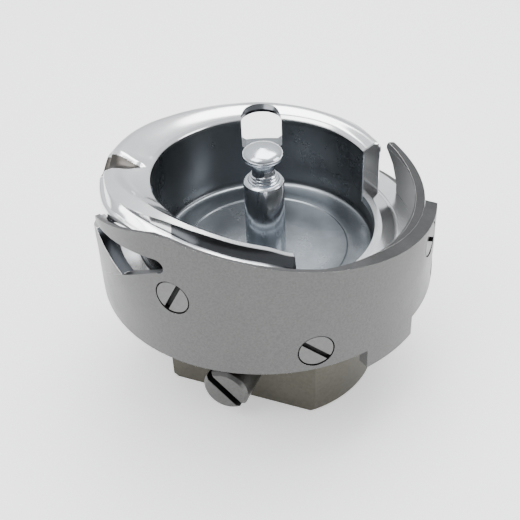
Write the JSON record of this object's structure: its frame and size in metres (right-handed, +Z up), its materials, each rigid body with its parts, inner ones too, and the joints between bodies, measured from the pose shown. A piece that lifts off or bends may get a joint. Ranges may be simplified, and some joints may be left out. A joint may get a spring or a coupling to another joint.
{
  "type": "rotary sewing hook",
  "caption": "Rotary hook of a lockstitch sewing machine: a slotted hub and beaked hook ring turn round a bobbin case holder with a centre stud.",
  "frame": {"origin": "centre of the shaft bore on the hub's bottom face", "axes": "+Z up the hook's axis, from the hub to the open pocket; -Y towards the front, where the flange's tail ends"},
  "size_m": [0.0344, 0.0344, 0.0265],
  "materials": {
    "ring_steel": "fine satin, ground round the axis",
    "hub_steel": "dark satin",
    "screw_steel": "satin",
    "polished_steel": "polished",
    "felt": "felt"
  },
  "bodies": {
    "hook": {"shaft_hub": "hub_steel", "hook_ring": "ring_steel", "retaining_gib": "ring_steel", "needle_guard": "ring_steel", "gib_screw_left": "screw_steel", "gib_screw_right": "screw_steel", "ring_screw_front": "screw_steel", "ring_screw_right": "screw_steel", "ring_screw_rear": "screw_steel", "needle_guard_screw": "screw_steel", "oil_wick": "felt"},
    "holder": {"bobbin_case_holder": "polished_steel", "centre_stud": "polished_steel"},
    "front_screw": {"set_screw_front": "screw_steel"},
    "left_screw": {"set_screw_left": "screw_steel"}
  },
  "joints": [
    {"name": "holder_spin", "type": "hinge", "parent": "hook", "child": "holder", "pos_m": [0, 0, 0.0155], "axis": [0, 0, 1], "continuous": true},
    {"name": "front_screw_advance", "type": "slide", "parent": "hook", "child": "front_screw", "axis": [0.3843, 0.9232, 0], "range_m": [0, 0.0012]},
    {"name": "left_screw_advance", "type": "slide", "parent": "hook", "child": "left_screw", "axis": [0.9232, -0.3843, 0], "range_m": [0, 0.0012]}
  ]
}
